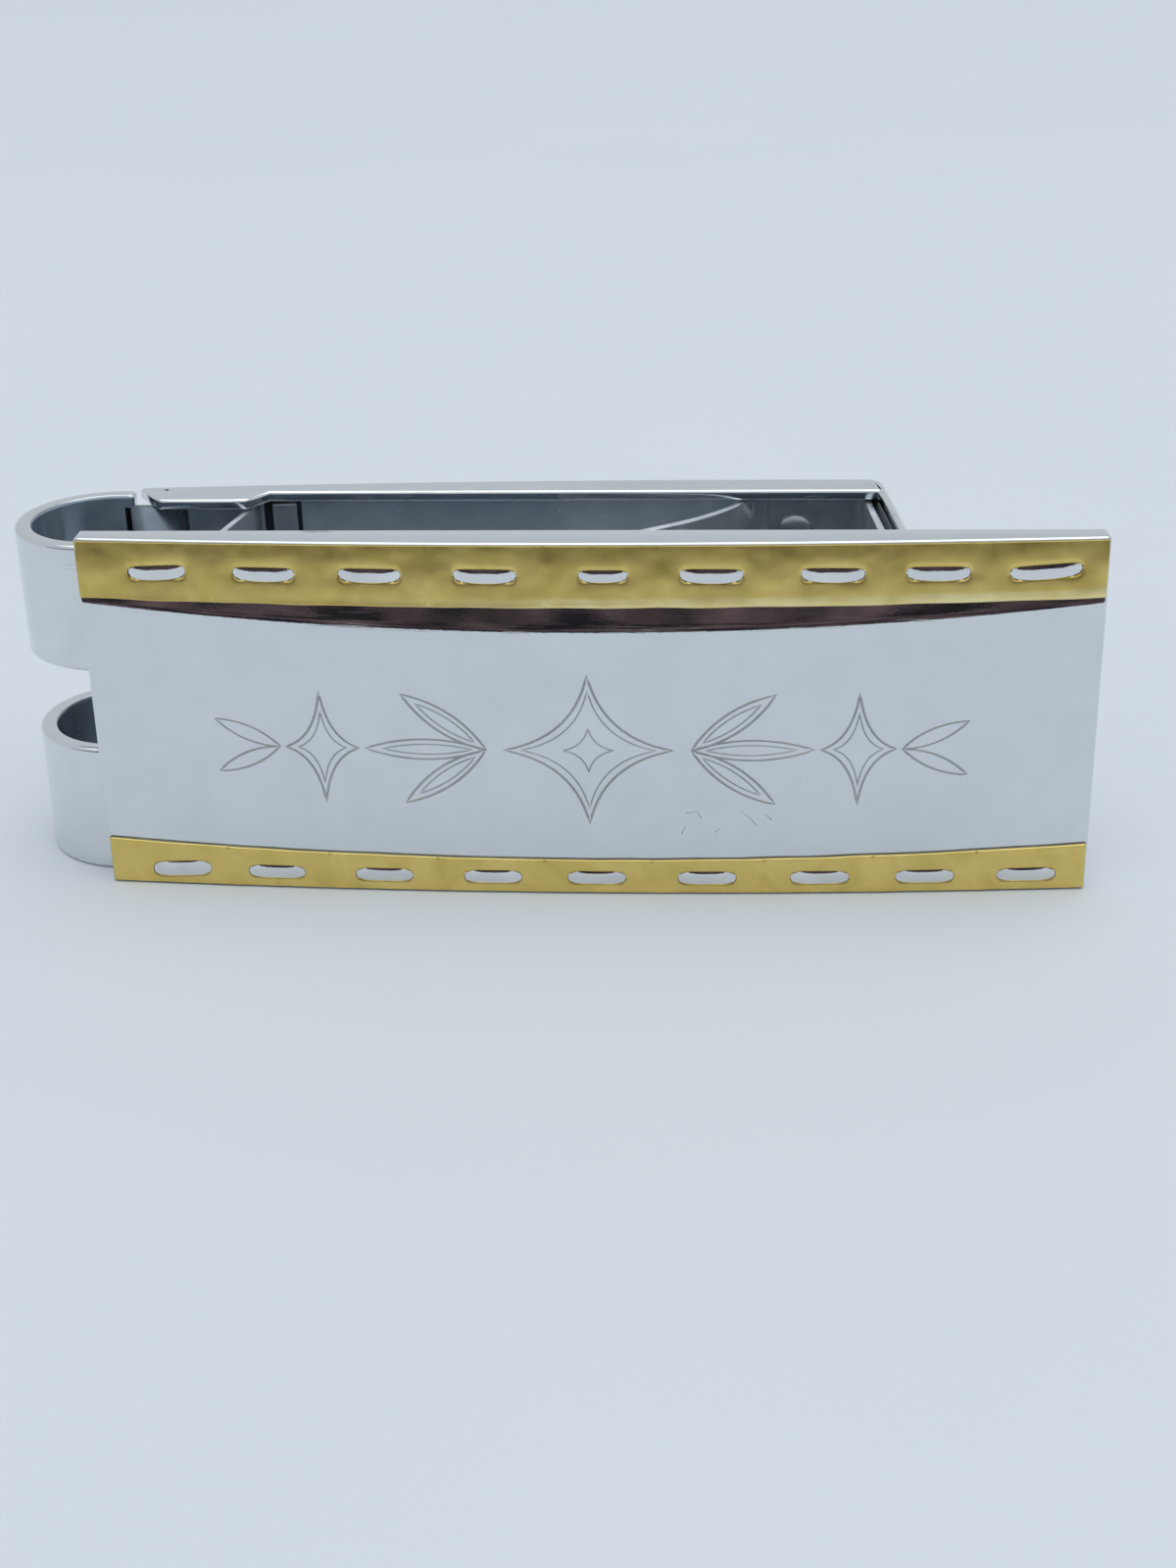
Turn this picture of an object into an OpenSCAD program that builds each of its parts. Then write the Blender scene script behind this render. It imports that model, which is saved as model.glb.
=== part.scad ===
// Hinged spring money clip: a convex face plate with two stitched bands, a two-loop
// sprung bow behind it, and a channel-shaped clamping lever pinned to the bow's end.
// Millimetres. The clip stands on its long lower edge: X runs along the plate, Y from
// its face to its back, Z up. Shapes are drawn with the plate's middle at x = 0 and the
// corners of its face at y = 0, and to_datum() moves them to the part's own origin.

/* [Face plate] */
// Length of the face plate
plate_len = 51; // [50.8:0.1:51.2]
// Height of the face plate
plate_height = 19.05; // [19:0.05:19.2]
// Depth of the rim, from the face's corners to its back
plate_depth = 1.3; // [1.2:0.1:1.5]
// How far the middle of the face stands in front of its corners
plate_crown = 1; // [0.6:0.1:1.1]
// Sheet thickness of the face plate
plate_sheet = 0.5; // [0.4:0.05:0.55]

/* [Bands] */
// Heights of the lower and the upper band at their ends
band_height = [2.5, 2.95]; // [2.2:0.05:3.2]
// How far the inner edges of the lower and the upper band sag in the middle
band_sag = [0.65, 0.25]; // [0.1:0.05:0.8]
// Gap between a band and the long edge of the plate
band_margin = 0.1; // [0.1:0.05:0.2]
// Thickness of the bands
band_sheet = 0.25; // [0.2:0.05:0.3]
// Length of one stitch window
stitch_len = 3.05; // [2.4:0.05:3.6]
// Height of one stitch window
stitch_height = 0.85; // [0.6:0.05:0.9]
// How far a stitch stands out of the plate
stitch_rise = 0.18; // [0.1:0.02:0.2]

/* [Bow] */
// Height of the strip that the bow is bent from
strip_height = 18.2; // [18:0.1:18.6]
// Thickness of the bow's strip
bow_sheet = 0.9; // [0.8:0.05:1]
// Outer radius of the bow's bend
bow_outer_r = 4.6; // [4.5:0.05:4.7]
// Height of the slot that splits the bend into two loops
loop_slot = 4.4; // [4.2:0.1:4.8]
// Height of the slot's lower edge
loop_slot_bottom = 7; // [6.6:0.1:7.2]

/* [Hinge] */
// Radius of the hinge pin
pin_r = 0.4; // [0.35:0.05:0.4]
// Radial clearance of the pin in the knuckle
pin_clearance = 0.03; // [0.02:0.01:0.06]
// Outer radius of the knuckle
knuckle_r = 0.9; // [0.9:0.05:0.9]
// Clearance of the knuckle between the lever's ears, at each end
ear_clearance = 0.1; // [0.05:0.05:0.15]

/* [Lever] */
// Sheet thickness of the lever
lever_sheet = 0.6; // [0.5:0.05:0.6]
// Depth at which the lever's back is furthest out
lever_back = 12.5; // [12.4:0.1:12.8]
// Radius of the lever's bowed back
lever_back_r = 452; // [430:2:470]

/* [Springs] */
// Thickness of the snap spring
snap_sheet = 0.35; // [0.3:0.05:0.35]
// Thickness of the grip spring
grip_sheet = 0.4; // [0.3:0.05:0.4]

/* [Hidden] */

past = 1;          // how far a cutting shape runs past what it cuts
small_fn = 64;     // facets of pins, rivets and bends
arc_fn = 1440;     // facets of the wide, shallow arcs
bend_step = 5;     // degrees between the points of a sheet's bend
bend_run = 3;      // greatest distance between them
sag_steps = 24;    // straight steps along a band's sagging edge

half_len = plate_len / 2;
face_r = (half_len * half_len + plate_crown * plate_crown) / (2 * plate_crown);
face_y = face_r - plate_crown;                  // centre of the face's arc
backing_front = plate_depth - 0.55;
band_half = half_len - band_margin;
band_seat = 0.01;                               // keeps the bands off the face's curve
band_ends = [band_margin + band_height[0], plate_height - band_margin - band_height[1]];
// Middles of the hand-set stitches along each band, lower band first
stitch_x = [[-21.6, -16.5, -10.8, -5.1, 0.3, 6, 11.8, 17.2, 22.4],
            [-21.3, -15.9, -10.6, -4.9, 0.9, 6.2, 12.1, 17.2, 22.4]];
stitch_z = [0.95, 17.45];
stitch_fit = 0.05;                              // gap round a stitch in its window

bow_x = -25.45;                                 // middle of the bend
bow_y = plate_depth + bow_outer_r;
bow_leg_end = 18;                               // right end of the leg behind the plate
bow_back_y = bow_y + bow_outer_r;               // outer face of the short back leg
slot_end = bow_x + 0.3;
slot_corner = 0.8;
neck_x = -25.05;                                // where the strip narrows to the neck
neck_sheet = 0.6;
bow_rivet_x = [-14, 12];
bow_rivet_z = [4.2, 14.2];
rivet_r = 0.55;
rivet_head_r = 0.9;
rivet_head = 0.35;
rivet_seat = 0.02;                              // keeps flat rivet ends off the bowed wall
leaf_seat = 0.005;                              // keeps flat leaves off it

hinge_x = -23.2;
hinge_y = bow_back_y - bow_sheet + knuckle_r;
neck_bottom = lever_sheet + ear_clearance;
neck_height = strip_height - 2 * neck_bottom;

lever_x = 8.1;                                  // where the lever's back is furthest out
lever_left = -24.7;                             // left end of the ears
lever_wall_left = -22.2;                        // left end of the wall between them
lever_corner_x = 14.4;                          // where the wall turns into the lip
lever_corner_r = 1;
lip_slant = 5.7;                                // degrees that the lip leans outwards
lip_end_y = 2.4;
flange_y = 10.2;                                // front edge of the shallow flanges
ear_y = 8.8;                                    // front edge of the ears

snap_leg_left = -22.25;
snap_leg_len = 3.35;
snap_bend_r = 0.45;
snap_flap_len = 7.4;
snap_flap_lean = 10.8;                          // degrees that the flap leans towards the hinge
snap_rivet_x = -20.4;
snap_rivet_z = [4.6, 13.6];

grip_foot_left = 9.5;
grip_foot_len = 4.3;
grip_rivet_x = 10.6;
grip_rivet_z = [2.6, 15.6];

datum = [(bow_x - bow_outer_r + half_len) / 2, (lever_back - plate_crown - band_sheet) / 2];

// Heading of the lever's bowed wall at x, in degrees
function wall_heading(x) = -asin((x - lever_x) / lever_back_r);
// Point of the lever's wall at x, drop inside its outer face
function wall_point(x, drop) = let (r = lever_back_r - drop, a = 90 + wall_heading(x))
    [lever_x + r * cos(a), lever_back - lever_back_r + r * sin(a), 0];

leaf_depth = lever_sheet + leaf_seat;

// The lever's sheet from the ears' left end, along the wall and round into the lip
lever_start = wall_point(lever_left, lever_sheet / 2) + [0, 0, wall_heading(lever_left)];
lever_steps = [[lever_back_r - lever_sheet / 2,
                wall_heading(lever_corner_x) - wall_heading(lever_left)],
               [lever_corner_r - lever_sheet / 2,
                lip_slant - 90 - wall_heading(lever_corner_x)]];

module to_datum() {
    translate([-datum[0], -datum[1], 0]) children();
}

// A slab between two radii about centre, cut to x0..x1, y0..y1 and z0..z1
module arc_slab(centre, r_in, r_out, x0, x1, y0, y1, z0, z1) {
    intersection() {
        translate([centre[0], centre[1], z0]) difference() {
            cylinder(r = r_out, h = z1 - z0, $fn = arc_fn);
            translate([0, 0, -past]) cylinder(r = r_in, h = z1 - z0 + 2 * past, $fn = arc_fn);
        }
        translate([x0, y0, z0]) cube([x1 - x0, y1 - y0, z1 - z0]);
    }
}

// A slab of the face's curve from one height above the face to another, cut off at back_y
module on_face(low, high, x0, x1, z0, z1, back_y = 3) {
    arc_slab([0, face_y], face_r + low, face_r + high, x0, x1, -3, back_y, z0, z1);
}

// Children placed at the lever's wall at x, drop inside its outer face, turned to lie along
// the wall over a straight run of the given length
module at_wall(x, drop, z, run = 0) {
    translate(wall_point(x, drop) + [0, 0, z]) rotate([0, 0, wall_heading(x + run / 2)])
        children();
}

// Places [x, y, heading] along a run of sheet. Each step is [length] for a straight run, or
// [radius, degrees] for a bend about the sheet's middle, to the left if degrees > 0.
function after(at, r, turn) = turn == 0
    ? [at[0] + r * cos(at[2]), at[1] + r * sin(at[2]), at[2]]
    : let (s = sign(turn) * r, h = at[2] + turn)
        [at[0] + s * (sin(h) - sin(at[2])), at[1] - s * (cos(h) - cos(at[2])), h];
function places(steps, i = 0, at = [0, 0, 0]) = i == len(steps) ? [at] :
    let (r = steps[i][0], turn = len(steps[i]) == 1 ? 0 : steps[i][1],
         parts = max(1, ceil(abs(turn) / bend_step), ceil(r * abs(turn) * PI / 180 / bend_run)))
    concat([at], [for (k = [1:1:parts - 1]) after(at, r, turn * k / parts)],
           places(steps, i + 1, after(at, r, turn)));

// Points beside a line of places, offset to its left
function beside(line, offset) =
    [for (p = line) [p[0] - offset * sin(p[2]), p[1] + offset * cos(p[2])]];

// Sheet metal bent end to end along the given steps from a starting place
module sheet_run(steps, thickness, height, start = [0, 0, 0]) {
    line = places(steps, 0, start);
    right = beside(line, -thickness / 2);
    linear_extrude(height = height)
        polygon(concat(beside(line, thickness / 2), [for (i = [len(line) - 1:-1:0]) right[i]]));
}

// Outline of one stitch, length by height, with round ends
module stitch_shape(length, height) {
    square([length - height, height], center = true);
    for (s = [-1, 1]) translate([s * (length - height) / 2, 0]) circle(d = height, $fn = small_fn);
}

// Prisms of all the stitches of one band, grown by grow on every side
module stitch_prisms(band, grow) {
    for (x = stitch_x[band])
        translate([x, 2, stitch_z[band]]) rotate([90, 0, 0]) linear_extrude(height = 4)
            stitch_shape(stitch_len + 2 * grow, stitch_height + 2 * grow);
}

// A round rod along Y from y0 to y1
module rod_y(x, z, r, y0, y1) {
    translate([x, y1, z]) rotate([90, 0, 0]) cylinder(r = r, h = y1 - y0, $fn = small_fn);
}

// Round rods square to the lever's wall at x, between two distances outside its back
module wall_rods(x, heights, r, y0, y1) {
    at_wall(x, 0, 0) for (z = heights) rod_y(0, z, r, y0, y1);
}

module face_plate() color("gainsboro") to_datum() {
    difference() {
        on_face(-5, 0, -half_len, half_len, 0, plate_height, plate_depth);
        on_face(-6, -plate_sheet, -half_len + plate_sheet, half_len - plate_sheet,
                plate_sheet, plate_height - plate_sheet, plate_depth + past);
    }
    for (band = [0, 1]) intersection() {
        on_face(0, stitch_rise, -half_len, half_len, 0, plate_height);
        stitch_prisms(band, -stitch_fit);
    }
}

// A band's sheet on the face, from one height to another
module band_slab(low, high) {
    on_face(band_seat, band_sheet, -band_half, band_half, low, high);
}

// Height of a band's sagging inner edge at x
function sag_z(band, x) = band_ends[band] - band_sag[band] * (1 - pow(x / band_half, 2));

// All that lies above a band's inner edge
module above_sag(band) {
    edge = [for (i = [0 : sag_steps]) let (x = half_len * (2 * i / sag_steps - 1)) [x, sag_z(band, x)]];
    top = plate_height + past;
    translate([0, plate_depth, 0]) rotate([90, 0, 0])
        linear_extrude(plate_depth + plate_crown + past)
            polygon(concat(edge, [[half_len, top], [-half_len, top]]));
}

module lower_gold_band() color("goldenrod") to_datum() difference() {
    band_slab(band_margin, band_ends[0] + past);
    above_sag(0);
    stitch_prisms(0, 0);
}

module upper_gold_band() color("goldenrod") to_datum() difference() {
    intersection() {
        band_slab(band_ends[1] - past, plate_height - band_margin);
        above_sag(1);
    }
    stitch_prisms(1, 0);
}

module backing_plate() color("silver") to_datum() difference() {
    translate([-half_len + plate_sheet, backing_front, plate_sheet])
        cube([plate_len - 2 * plate_sheet, plate_depth - backing_front,
              plate_height - 2 * plate_sheet]);
    for (x = bow_rivet_x, z = bow_rivet_z) rod_y(x, z, rivet_r, backing_front - past, 2 * past + 1);
}

module bow() color("lightgray") to_datum() difference() {
    union() {
        translate([bow_leg_end, plate_depth + bow_sheet / 2, 0]) rotate([0, 0, 180])
            sheet_run([[bow_leg_end - bow_x], [bow_outer_r - bow_sheet / 2, -180],
                       [neck_x - bow_x]], bow_sheet, strip_height);
        translate([neck_x, bow_back_y - bow_sheet, neck_bottom])
            cube([hinge_x - neck_x, neck_sheet, neck_height]);
        translate([hinge_x, hinge_y, neck_bottom])
            cylinder(r = knuckle_r, h = neck_height, $fn = small_fn);
    }
    translate([hinge_x, hinge_y, 0])
        cylinder(r = pin_r + pin_clearance, h = strip_height, $fn = small_fn);
    loop_window();
    for (x = bow_rivet_x, z = bow_rivet_z) rod_y(x, z, rivet_r, plate_depth - past, 3 * past + 1);
}

// The slot between the two loops, open to the left, with rounded inner corners
module loop_window() {
    length = bow_outer_r + 2 * past;
    translate([slot_end, bow_back_y + past, loop_slot_bottom]) rotate([90, 0, 0])
        linear_extrude(height = 2 * bow_outer_r + 2 * past) {
            translate([-length, 0]) square([length - slot_corner, loop_slot]);
            translate([-slot_corner, slot_corner])
                square([slot_corner, loop_slot - 2 * slot_corner]);
            for (z = [slot_corner, loop_slot - slot_corner])
                translate([-slot_corner, z]) circle(r = slot_corner, $fn = small_fn);
        }
}

module bow_rivets() color("silver") to_datum()
    for (x = bow_rivet_x, z = bow_rivet_z) {
        rod_y(x, z, rivet_r, backing_front - rivet_head / 2, plate_depth + bow_sheet);
        rod_y(x, z, rivet_head_r, backing_front - rivet_head, backing_front);
    }

module hinge_pin() color("silver") to_datum()
    translate([hinge_x, hinge_y, 0]) cylinder(r = pin_r, h = strip_height, $fn = small_fn);

// Plan of one flange: a deep ear at the hinge, then a shallow edge up to the lip
module flange_plan() {
    corner = wall_point(lever_corner_x, lever_corner_r);
    lip_x = corner[0] + lever_corner_r * cos(lip_slant)
        + (corner[1] + lever_corner_r * sin(lip_slant) - flange_y) * tan(lip_slant);
    polygon(concat(beside(places(lever_steps, 0, lever_start), lever_sheet / 2),
                   [[lip_x, flange_y], [-17.6, flange_y], [-18.5, ear_y], [-23.3, ear_y]]));
}

module lever() color("whitesmoke") to_datum() difference() {
    lip_len = (wall_point(lever_corner_x, lever_corner_r)[1] - lip_end_y) / cos(lip_slant);
    union() {
        sheet_run(concat(lever_steps, [[lip_len]]), lever_sheet, strip_height, lever_start);
        for (z = [0, strip_height - lever_sheet])
            translate([0, 0, z]) linear_extrude(height = lever_sheet) flange_plan();
    }
    // The wall stops short of the knuckle, between the ears
    translate([lever_left - past, flange_y, lever_sheet])
        cube([lever_wall_left - lever_left + past, 3, strip_height - 2 * lever_sheet]);
    translate([hinge_x, hinge_y, -past])
        cylinder(r = pin_r, h = strip_height + 2 * past, $fn = small_fn);
    wall_rods(snap_rivet_x, snap_rivet_z, rivet_r, -past, past);
    wall_rods(grip_rivet_x, grip_rivet_z, rivet_r, -past, past);
}

module snap_spring() color("slategray") to_datum() {
    turn = -90 - snap_flap_lean - wall_heading(snap_leg_left + snap_leg_len / 2);
    difference() {
        at_wall(snap_leg_left, leaf_depth + snap_sheet / 2, neck_bottom, snap_leg_len)
            sheet_run([[snap_leg_len], [snap_bend_r, turn], [snap_flap_len]],
                      snap_sheet, neck_height);
        wall_rods(snap_rivet_x, snap_rivet_z, rivet_r, -2 * past, past);
    }
}

module snap_spring_rivets() color("silver") to_datum()
    wall_rivets(snap_rivet_x, snap_rivet_z, snap_sheet);

// Rivets that hold a leaf of the given thickness to the inside of the lever's wall
module wall_rivets(x, heights, leaf) {
    front = -leaf_depth - leaf - leaf_seat;
    wall_rods(x, heights, rivet_r, front - rivet_head / 2, -rivet_seat);
    wall_rods(x, heights, rivet_head_r, front - rivet_head, front);
}

module grip_spring() color("silver") to_datum() {
    turn = -90 + lip_slant - wall_heading(grip_foot_left + grip_foot_len / 2);
    difference() {
        // The foot lies on the wall, and the wing runs forward beside the lip. The tongue
        // bends steeply off the wall, eases out, and curls up at its tip.
        at_wall(grip_foot_left, leaf_depth + grip_sheet / 2, neck_bottom, grip_foot_len)
            union() {
                sheet_run([[grip_foot_len], [0.5, turn], [7]], grip_sheet, neck_height);
                translate([1, 0, 0]) rotate([0, 0, 180])
                    sheet_run([[1], [1.7, 56], [1.2], [12, -22], [6.9], [1.2, -54]],
                              grip_sheet, neck_height);
            }
        wall_rods(grip_rivet_x, grip_rivet_z, rivet_r, -2 * past, past);
    }
}

module grip_spring_rivets() color("silver") to_datum()
    wall_rivets(grip_rivet_x, grip_rivet_z, grip_sheet);

face_plate();
upper_gold_band();
lower_gold_band();
backing_plate();
bow();
bow_rivets();
hinge_pin();
lever();
snap_spring();
snap_spring_rivets();
grip_spring();
grip_spring_rivets();
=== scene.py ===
"""A hinged spring money clip: a mirror face plate with two stitched gold bands, the
two-loop bow behind it, and the clamping lever with its two leaf springs.

Shapes are drawn in millimetres, with x = 0 at the middle of the face plate, y = 0 at the
corners of its face and z = 0 on the table. place() moves them to the frame, in metres.
"""

from math import asin, atan2, ceil, cos, exp, hypot, pi, radians, sin, sqrt

import bmesh
import bpy
from mathutils import Matrix, Vector, noise


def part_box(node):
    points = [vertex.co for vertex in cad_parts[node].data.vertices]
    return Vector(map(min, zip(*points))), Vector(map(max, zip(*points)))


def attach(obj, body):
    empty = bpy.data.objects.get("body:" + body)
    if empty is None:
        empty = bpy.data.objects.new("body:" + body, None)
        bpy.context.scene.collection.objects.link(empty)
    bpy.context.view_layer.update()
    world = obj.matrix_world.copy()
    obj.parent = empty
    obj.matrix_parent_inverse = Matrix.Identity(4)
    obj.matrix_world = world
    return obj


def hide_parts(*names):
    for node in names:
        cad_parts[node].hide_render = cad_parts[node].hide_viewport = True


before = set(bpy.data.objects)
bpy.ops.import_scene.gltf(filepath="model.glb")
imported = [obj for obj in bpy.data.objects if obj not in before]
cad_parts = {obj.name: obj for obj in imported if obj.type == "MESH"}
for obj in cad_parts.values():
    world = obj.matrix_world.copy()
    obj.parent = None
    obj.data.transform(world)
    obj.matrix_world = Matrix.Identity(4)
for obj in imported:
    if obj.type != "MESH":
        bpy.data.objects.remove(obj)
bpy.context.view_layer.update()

MM = 0.001
plate_low, plate_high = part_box("face_plate")

# Face plate
PLATE_LEN = (plate_high.x - plate_low.x) / MM
PLATE_HEIGHT = plate_high.z / MM
PLATE_DEPTH = 1.3
PLATE_CROWN = 1
PLATE_SHEET = 0.5
RIM_R = 0.17
RIM_CORNER_R = 0.2
HALF_LEN = PLATE_LEN / 2
SCUFF_WIDTH = 0.06
FACE_R = (HALF_LEN**2 + PLATE_CROWN**2) / (2 * PLATE_CROWN)

# Soft dish of the face beside the upper band: its width in the middle and at the ends, the
# share of that width in which it curves away, and its settling distance under the band
DISH_MID, DISH_END = 1.65, 0.35
DISH_SLOPE = 0.13
DISH_CURVE = 0.45
DISH_SETTLE = 0.3

# Section of an engraved line, as (share of its half width, distance in front of the face)
GROOVE_SECTION = ((1, -0.006), (0, 0.012), (-1, -0.006), (0, -0.03))

# Bands, lower band first. BAND_DROP lowers the surface a little under the sheet's thickness;
# crown, puff, swell and dent raise it again by up to these heights. The rolls are the radii
# of its rounded edges, WINDOW_DEPTH is how far a window's edge goes into the plate, and
# TURNED_DOWN the depth of the outer edges.
BAND_MARGIN = 0.1
BAND_SHEET = 0.25
BAND_HALF = HALF_LEN - BAND_MARGIN
BAND_OUTER = (BAND_MARGIN, PLATE_HEIGHT - BAND_MARGIN)
BAND_INNER = (BAND_OUTER[0] + 2.5, BAND_OUTER[1] - 2.95)
BAND_SAG = (0.65, 0.25)
BAND_CROWN = (0.03, 0.06)
BAND_DROP = 0.09
BAND_PUFF, PUFF_REACH = 0.045, 0.5
BAND_SWELL, BAND_DENT = 0.018, 0.01
OUTER_ROLL, INNER_ROLL, BURNISHED_ROLL = 0.03, 0.05, 0.2
WINDOW_ROLL = 0.12
WINDOW_DEPTH = 0.04
TURNED_DOWN = 0.2
# Width and fade of the pale strip painted as a highlight along the upper band's inner edge
HIGHLIGHT_WIDTH, HIGHLIGHT_FADE = 0.55, 0.12

# Stitches, lower band first: a plain bar in the lower band, and in the upper band a boat
# with a straight deck over a full hull. The powers make their outlines more or less square.
STITCH_X = (
    (-21.6, -16.5, -10.8, -5.1, 0.3, 6, 11.8, 17.2, 22.4),
    (-21.3, -15.9, -10.6, -4.9, 0.9, 6.2, 12.1, 17.2, 22.4),
)
STITCH_Z = (0.95, 17.45)
STITCH_RISE = 0.21
STITCH_FALL = 0.055
STITCH_DECK = 0.55
DECK_SHARE = 0.38
BAR_POWER, DECK_POWER, HULL_POWER = 3.4, 5, 2.3

# Bow
STRIP_HEIGHT = 18.2
BOW_SHEET = 0.9
BOW_OUTER_R = 4.6
BOW_X = -25.45
BOW_LEG_END = 18
BOW_BACK_Y = PLATE_DEPTH + 2 * BOW_OUTER_R
SLOT_END = BOW_X + 0.3
SLOT_CORNER = 0.8
SLOT_LOW, SLOT_HIGH = 7, 11.4
NECK_X = -25.05
BOW_END_X = -24.82
BOW_RIVET_X = (-14, 12)
BOW_RIVET_Z = (4.2, 14.2)

# Hinge
PIN_R = 0.4
KNUCKLE_R = 0.9
KNUCKLE_BORE_R = 0.43
HINGE_X = -23.2
HINGE_Y = BOW_BACK_Y - BOW_SHEET + KNUCKLE_R

# Lever
LEVER_SHEET = 0.6
LEVER_BACK = 12.5
LEVER_BACK_R = 452
LEVER_X = 8.1
LEVER_LEFT = -24.7
LEVER_WALL_LEFT = -22.2
LEVER_CORNER_X = 14.4
LEVER_CORNER_R = 1
LEVER_FOLD_R = 0.55
LIP_SLANT = radians(5.7)
LIP_END_Y = 2.4
FLANGE_Y = 10.2
EAR_Y = 8.8
EAR_X = (-23.3, -18.5, -17.6)
NECK_LOW, NECK_HIGH = 0.7, 17.5

# Leaf springs on the lever
LEAF_DEPTH = LEVER_SHEET + 0.005
SNAP_SHEET = 0.35
SNAP_LEFT = -22.25
SNAP_LEG = 3.35
SNAP_BEND_R = 0.45
SNAP_FLAP = 7.4
SNAP_LEAN = radians(10.8)
SNAP_RIVET_X = -20.4
SNAP_RIVET_Z = (4.6, 13.6)
GRIP_SHEET = 0.4
GRIP_LEFT = 9.5
GRIP_FOOT = 4.3
GRIP_BEND_R = 0.5
GRIP_WING = 7
TONGUE_ROOT = 1
TONGUE_STEPS = ((1,), (1.7, radians(56)), (1.2,), (12, radians(-22)), (6.9,),
                (1.2, radians(-54)))
GRIP_RIVET_X = 10.6
GRIP_RIVET_Z = (2.6, 15.6)
RIVET_R = 0.55
RIVET_HEAD_R = 0.9
RIVET_HEAD = 0.35

# Small pad on the wall beside the snap leaf, and the black sheet of painted shadow round it,
# each as its ends along x, its ends in height, its rise and its edges' radius
PAD = ((-17.66, -16.34), (1.3, 17.3), 0.4, 0.08)
PAD_SHADOW = ((-18.15, -16.12), (0.65, 17.55), 0.06, 0.024)

BEND_STEP = radians(3)


def place(x, y, z):
    """A drawing point, in the frame's metres."""
    mid_x = (plate_low.x + plate_high.x) / 2
    return mid_x + x * MM, plate_high.y + (y - PLATE_DEPTH) * MM, z * MM


# ---------------------------------------------------------------- materials


def add(tree, kind, links=None, **values):
    """A node of a kind, with its settings, and its inputs joined to other nodes' outputs."""
    made = tree.nodes.new("ShaderNode" + kind)
    for key, value in values.items():
        setattr(made, key, value)
    for key, source in (links or {}).items():
        tree.links.new(source, made.inputs[key])
    return made


def millimetres(tree, stretch=(1, 1, 1), turn=(0, 0, 0)):
    """Object coordinates in millimetres, stretched and turned."""
    coords = add(tree, "TexCoord").outputs["Object"]
    mapping = add(tree, "Mapping", {"Vector": coords})
    mapping.inputs["Scale"].default_value = [s / MM for s in stretch]
    mapping.inputs["Rotation"].default_value = turn
    return mapping.outputs["Vector"]


def noise_value(tree, scale, detail=4, stretch=(1, 1, 1), turn=(0, 0, 0), warp=0):
    """Noise from 0 to 1 with features about 1/scale millimetres wide."""
    vector = millimetres(tree, stretch, turn)
    made = add(tree, "TexNoise", {"Vector": vector})
    made.inputs["Scale"].default_value = scale
    made.inputs["Detail"].default_value = detail
    made.inputs["Distortion"].default_value = warp
    return made.outputs["Fac"]


def spread(tree, source, low, high, to_low=0.0, to_high=1.0):
    """The source's range low..high, spread over another range and held inside it."""
    made = add(tree, "MapRange", {"Value": source})
    for key, value in (("From Min", low), ("From Max", high), ("To Min", to_low),
                       ("To Max", to_high)):
        made.inputs[key].default_value = value
    return made.outputs["Result"]


def combine(tree, how, a, b):
    """Two values joined by a sum, product or other operation."""
    return add(tree, "Math", {0: a, 1: b}, operation=how).outputs["Value"]


def colour_mix(tree, factor, first, second):
    """A colour between two, by a varying factor. The first may be a node's output."""
    made = add(tree, "Mix", {"Factor": factor}, data_type="RGBA")
    if isinstance(first, bpy.types.NodeSocket):
        tree.links.new(first, made.inputs[6])
    else:
        made.inputs[6].default_value = (*first, 1)
    made.inputs[7].default_value = (*second, 1)
    return made.outputs[2]


def hair_scratches(tree):
    """Sparse thin scratches in two directions, 1 on a scratch and 0 elsewhere."""
    lines = None
    for stretch, angle in (((0.35, 1, 9), 0.5), ((0.3, 1, 11), -0.9)):
        streak = noise_value(tree, 1.0, 2, stretch, (0, angle, 0))
        line = spread(tree, streak, 0.66, 0.7)
        lines = line if lines is None else combine(tree, "MAXIMUM", lines, line)
    return lines


def metal(name, light, dark, rough, grain, bump, scratched=False, metallic=1.0, cloud=0.35,
          swirl=0.6):
    """A polished or satin metal: its colour and gloss vary over a few millimetres, and its
    surface has fine ripples. rough is (smoothest, roughest); grain is the ripples' scale."""
    made = bpy.data.materials.new(name)
    made.use_nodes = True
    tree = made.node_tree
    shader = tree.nodes["Principled BSDF"]
    shader.inputs["Metallic"].default_value = metallic
    patches = noise_value(tree, cloud, 3, warp=swirl)
    tree.links.new(colour_mix(tree, spread(tree, patches, 0.3, 0.7), light, dark),
                   shader.inputs["Base Color"])
    gloss = spread(tree, noise_value(tree, 1.3, 5), 0.3, 0.75, *rough)
    height = noise_value(tree, grain, 3)
    if scratched:
        lines = hair_scratches(tree)
        gloss = combine(tree, "ADD", gloss, spread(tree, lines, 0, 1, 0, 0.1))
        height = combine(tree, "SUBTRACT", height, spread(tree, lines, 0, 1, 0, 0.5))
    tree.links.new(gloss, shader.inputs["Roughness"])
    bumps = add(tree, "Bump", {"Height": height})
    bumps.inputs["Strength"].default_value = bump
    bumps.inputs["Distance"].default_value = 0.02 * MM
    tree.links.new(bumps.outputs["Normal"], shader.inputs["Normal"])
    return made


def paint_edge_highlight(material, colour):
    """Paints a pale highlight into a metal's colour, as strong as the mesh's own highlight value.
    """
    tree = material.node_tree
    shader = tree.nodes["Principled BSDF"]
    plain = shader.inputs["Base Color"].links[0].from_socket
    highlit = add(tree, "Attribute", attribute_name="painted_highlight").outputs["Fac"]
    tree.links.new(colour_mix(tree, highlit, plain, colour), shader.inputs["Base Color"])


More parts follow.
